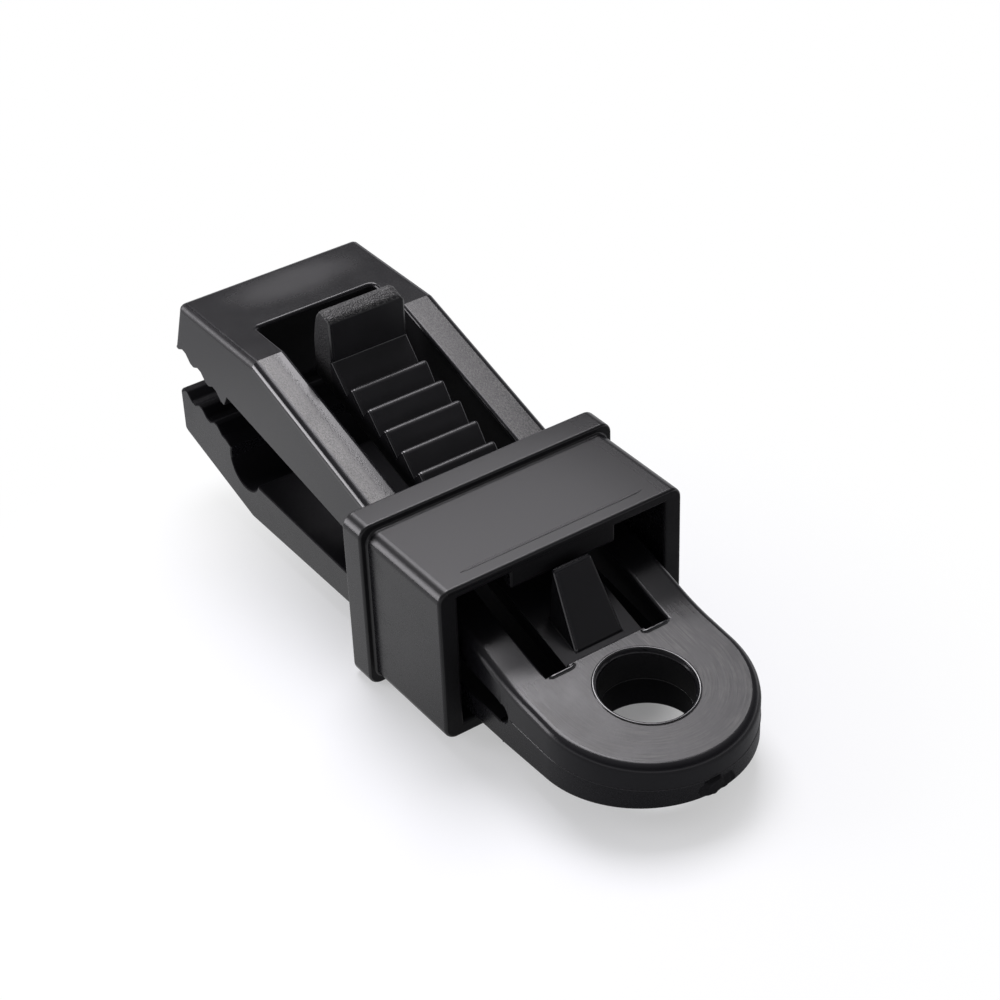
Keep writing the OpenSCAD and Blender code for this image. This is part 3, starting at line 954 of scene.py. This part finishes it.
class CLIP_OT_mould_marks(bpy.types.Operator):
    """Makes the flash along the parting line, the slot lips, the broken gate and the witness line"""

    bl_idname = "clip.mould_marks"
    bl_label = "Mould marks"

    def execute(self, context):
        shape = context.scene.clip_shape
        finish = context.scene.clip_finish
        plastic = satin_plastic("flash_satin", finish.body_colour, 0.12, 0.2, relief=0.02, specular=0.8)
        rubbed = satin_plastic("lip_satin", finish.body_colour, 0.14, 0.22, specular=0.8)
        torn = matt_plastic("torn_plastic", finish.body_colour)
        marks = [(self.parting_flash(shape), plastic), (self.eye_flash(shape), plastic),
                 (self.eye_rim(shape), plastic), *((lip, rubbed) for lip in self.slot_lips(shape)),
                 (self.broken_gate(shape), torn)]
        for made, material in marks:
            made.data.materials.append(material)
            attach(made, "tail")
        line = self.witness_line(shape)
        line.data.materials.append(satin_plastic("line_satin", finish.sleeve_colour, 0.3, 0.44))
        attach(line, "sleeve")
        return {"FINISHED"}

    def parting_flash(self, shape):
        start = HINGE.x + SLIT_R + 0.4 * MM
        side = [(start + (TAIL_ROUND_X - start) * step / 8, -HALF_W) for step in range(8)]
        turn = [(TAIL_ROUND_X + HALF_W * math.sin(a), -HALF_W * math.cos(a))
                for a in (math.pi * step / 48 for step in range(49))]
        outline = side + turn + [(x, -y) for x, y in reversed(side)]
        return bead("parting_flash", [on_parting(shape, x, y) for x, y in outline],
                    shape.flash, shape.flash)

    def round_eye(self, radius, steps):
        """Places on plan round the rope eye, from the first back to the first."""
        turns = (math.tau * step / steps for step in range(steps + 1))
        return [(EYE.x + radius * math.cos(a), radius * math.sin(a)) for a in turns]

    def eye_flash(self, shape):
        ring = [on_parting(shape, x, y) for x, y in self.round_eye(EYE_R, 64)]
        return bead("eye_flash", ring, shape.flash, shape.flash)

    def eye_rim(self, shape):
        ring = [on_plate(x, y) for x, y in self.round_eye(EYE_R + shape.eye_rim_gap, 96)]
        return bead("eye_rim", ring, shape.eye_rim, 0.7 * shape.eye_rim, sides=12)

    def slot_lips(self, shape):
        inner = TONGUE_HIGH.y
        outer = WINDOW_HALF_W
        edge_x = SLOT_END.x + shape.slot_lip
        hook = 3 * shape.slot_lip
        for side, name in ((-1, "slot_lip_left"), (1, "slot_lip_right")):
            path = [Vector((edge_x, side * (outer + (inner - outer) * step / 6), SLOT_END.z))
                    for step in range(7)]
            path += [Vector((edge_x - hook * (1 - math.cos(a)), side * (inner - hook * math.sin(a)),
                             SLOT_END.z)) for a in (0.4, 0.8, 1.2)]
            yield bead(name, path, shape.slot_lip, shape.slot_lip)

    def broken_gate(self, shape):
        """A torn patch on the tail's tip, just under the parting line."""
        patch = bmesh.new()
        across, rise = 36, 18
        rows = []
        for depth in (0, 1):
            for row in range(rise + 1):
                rows.append([])
                for column in range(across + 1):
                    u, v = 2 * column / across - 1, row / rise
                    a = u * shape.gate_half / HALF_W
                    ragged = noise.noise(Vector((u * 1.9, v * 1.6, 2.3)))
                    ragged += 0.3 * noise.noise(Vector((u * 4.7, v * 3.9, 5.1)))
                    blob = 1 - u * u - (2 * v - 1) ** 2 + 0.6 * ragged
                    torn = min(1, max(-0.4, 1.6 * blob)) * (0.85 + 0.3 * ragged)
                    proud = -0.6 * MM if depth else shape.gate_proud * torn - 0.05 * MM
                    spread = HALF_W + proud
                    x = TAIL_ROUND_X + spread * math.cos(a)
                    z = on_parting(shape, x, 0).z - 0.1 * MM - shape.gate_height * (1 - v)
                    rows[-1].append(patch.verts.new((x, spread * math.sin(a), z)))
        front, back = rows[:rise + 1], rows[rise + 1:]
        for row in range(rise):
            for column in range(across):
                near, far = (row, column), (row + 1, column + 1)
                for sheet, order in ((front, 1), (back, -1)):
                    ring = [sheet[near[0]][near[1]], sheet[near[0]][far[1]], sheet[far[0]][far[1]],
                            sheet[far[0]][near[1]]]
                    patch.faces.new(ring[::order])
        rim_front = self.rim(front)
        rim_back = self.rim(back)
        for step in range(len(rim_front)):
            patch.faces.new((rim_front[step - 1], rim_front[step], rim_back[step], rim_back[step - 1]))
        bmesh.ops.recalc_face_normals(patch, faces=patch.faces)
        return object_of("broken_gate", patch)

    def rim(self, sheet):
        left = [row[0] for row in sheet]
        right = [row[-1] for row in sheet]
        return sheet[0] + right[1:] + sheet[-1][-2::-1] + left[-2:0:-1]

    def witness_line(self, shape):
        x = SLEEVE_HIGH.x - shape.witness_back
        path = [Vector((x, shape.witness_half * (step / 12 - 1), SLEEVE_TOP)) for step in range(25)]
        return bead("witness_line", path, shape.witness, shape.witness_rise)


# Stage

def world_light():
    """A bright horizon, a dim band above it that is darker beyond the tail, and a softer ceiling."""
    world = bpy.data.worlds.new("studio")
    world.use_nodes = True
    tree = world.node_tree
    tree.nodes.clear()
    direction = tree.nodes.new("ShaderNodeTexCoord").outputs["Generated"]
    split = add(tree, "ShaderNodeSeparateXYZ", {0: direction}).outputs
    ramp = add(tree, "ShaderNodeValToRGB", {"Fac": split["Z"]})
    stops = ramp.color_ramp.elements
    while len(stops) < len(SKY):
        stops.new(0.5)
    for stop, (height, level) in zip(stops, SKY):
        stop.position = height
        stop.color = (*times(level, SKY_TINT), 1)
    shade = ranged(tree, split["X"], -0.3, 0.6, 1.0, 0.4)
    level = between(tree, ranged(tree, split["Z"], HORIZON, DIM_BAND), 1.0, shade)
    glow = add(tree, "ShaderNodeBackground", {"Color": ramp.outputs["Color"], "Strength": level})
    add(tree, "ShaderNodeOutputWorld", {"Surface": glow.outputs[0]})
    bpy.context.scene.world = world


def pale_floor(stage):
    """A wide disc that keeps a light shadow near the clip, darkened further by a painted shadow under the eye, and
    runs out to plain white.

    What the plastic mirrors of it is a painted reflection that dims towards the tail, and far in front of the
    jaws."""
    solid = bmesh.new()
    bmesh.ops.create_circle(solid, cap_ends=True, segments=96, radius=stage.floor_radius)
    made = object_of("floor", solid)
    material, tree, shader, position = blank_plastic("pale_floor")
    feed(shader, {"Base Color": (*stage.floor_colour, 1), "Roughness": 0.5})
    lift = ranged(tree, vectors(tree, "DISTANCE", position, stage.shadow_place)["Value"],
                  stage.shadow_near, stage.shadow_far, stage.shadow_lift, 1.0, ease="SMOOTHSTEP")
    # Painted shadow: less white is mixed in round the core place, so the floor under the eye is darker.
    core = ranged(tree, vectors(tree, "DISTANCE", position, stage.core_place)["Value"],
                  stage.core_near, stage.core_far, stage.shadow_core, 1.0, ease="SMOOTHSTEP")
    rays = tree.nodes.new("ShaderNodeLightPath").outputs
    mirrored = maths(tree, "MAXIMUM", rays["Is Glossy Ray"], rays["Is Transmission Ray"])
    shown = maths(tree, "MULTIPLY", maths(tree, "MULTIPLY", lift, core), rays["Is Camera Ray"])
    amount = maths(tree, "MAXIMUM", shown, maths(tree, "MULTIPLY", mirrored, stage.mirror_share))
    # Painted reflection: the glow that the plastic mirrors is set along x, dimmer towards the tail and far in
    # front of the jaws.
    along = add(tree, "ShaderNodeSeparateXYZ", {0: position}).outputs["X"]
    painted_reflection_fade = ranged(tree, along, -10 * MM, 45 * MM, stage.mirror_level, stage.mirror_tail,
                  ease="SMOOTHSTEP")
    painted_reflection_rise = ranged(tree, along, -75 * MM, -48 * MM, 0.75, 1.15, ease="SMOOTHSTEP")
    strength = between(tree, mirrored, 1.0, maths(tree, "MULTIPLY", painted_reflection_fade, painted_reflection_rise))
    white = add(tree, "ShaderNodeEmission", {"Color": (1, 1, 1, 1), "Strength": strength})
    mixed = add(tree, "ShaderNodeMixShader",
                {0: amount, 1: shader.outputs["BSDF"], 2: white.outputs[0]})
    surface = next(node for node in tree.nodes if node.bl_idname == "ShaderNodeOutputMaterial")
    feed(surface, {"Surface": mixed.outputs[0]})
    made.data.materials.append(material)
    made.location.z = -WELD
    made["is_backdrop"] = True


def panel_light(name, spot, width, height, watts):
    """A flat lamp that faces the clip."""
    lamp = bpy.data.lights.new(name, "AREA")
    lamp.shape = "RECTANGLE"
    lamp.size = width
    lamp.size_y = height
    lamp.energy = watts
    lamp.color = LAMP_TINT
    made = bpy.data.objects.new(name, lamp)
    made.location = spot
    made.rotation_euler = Vector(spot).to_track_quat("Z", "Y").to_euler()
    made.visible_camera = False
    bpy.context.scene.collection.objects.link(made)


class CLIP_OT_stage(bpy.types.Operator):
    """Sets the camera, the floor and the light"""

    bl_idname = "clip.stage"
    bl_label = "Stage"

    def execute(self, context):
        stage = context.scene.clip_stage
        context.scene.view_settings.view_transform = "Standard"
        self.camera(context, stage)
        pale_floor(stage)
        world_light()
        panel_light("softbox", stage.softbox_place, stage.softbox_size, stage.softbox_size,
                    stage.softbox_power)
        panel_light("strip", stage.strip_place, stage.strip_width, stage.strip_height,
                    stage.strip_power)
        return {"FINISHED"}

    def camera(self, context, stage):
        flat = math.cos(stage.elevation)
        back = Vector((math.sin(stage.azimuth) * flat, -math.cos(stage.azimuth) * flat,
                       math.sin(stage.elevation)))
        right = Vector((math.cos(stage.azimuth), math.sin(stage.azimuth), 0))
        up = back.cross(right)
        turn = Matrix((right, up, back)).transposed() @ Matrix.Rotation(stage.roll, 3, "Z")
        lens = bpy.data.cameras.new("camera")
        lens.lens = stage.lens
        lens.sensor_width = stage.sensor
        lens.clip_start = stage.distance / 100
        lens.clip_end = stage.distance * 100
        camera = bpy.data.objects.new("camera", lens)
        spot = Vector(stage.aim) + back * stage.distance
        camera.matrix_world = Matrix.Translation(spot) @ turn.to_4x4()
        context.scene.collection.objects.link(camera)
        context.scene.camera = camera


class CLIP_PT_panel(bpy.types.Panel):
    """Lists the pieces, their sizes and the stage"""

    bl_idname = "CLIP_PT_panel"
    bl_label = "Tarp clip"
    bl_space_type = "VIEW_3D"
    bl_region_type = "UI"
    bl_category = "Tarp clip"

    def draw(self, context):
        for piece in PIECES:
            self.layout.operator(piece.bl_idname)
        for group in (context.scene.clip_shape, context.scene.clip_finish, context.scene.clip_stage):
            box = self.layout.box()
            for name in group.__annotations__:
                box.prop(group, name)


PIECES = (CLIP_OT_stage, CLIP_OT_upper_moulding, CLIP_OT_lower_moulding, CLIP_OT_ratchet_tongue,
          CLIP_OT_lock_sleeve, CLIP_OT_mould_marks)
CLASSES = (ClipShape, ClipFinish, ClipStage, *PIECES, CLIP_PT_panel)


def register():
    for made in CLASSES:
        bpy.utils.register_class(made)
    bpy.types.Scene.clip_shape = PointerProperty(type=ClipShape)
    bpy.types.Scene.clip_finish = PointerProperty(type=ClipFinish)
    bpy.types.Scene.clip_stage = PointerProperty(type=ClipStage)


def unregister():
    del bpy.types.Scene.clip_stage
    del bpy.types.Scene.clip_finish
    del bpy.types.Scene.clip_shape
    for made in reversed(CLASSES):
        bpy.utils.unregister_class(made)


def main():
    register()
    bpy.ops.clip.stage()
    bpy.ops.clip.upper_moulding()
    bpy.ops.clip.lower_moulding()
    bpy.ops.clip.ratchet_tongue()
    bpy.ops.clip.lock_sleeve()
    bpy.ops.clip.mould_marks()
    boxes = {"cad": CAD_BOX, "visual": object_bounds()}
    {name: [list(corner) for corner in box] for name, box in boxes.items()}


if __name__ == "__main__":
    main()
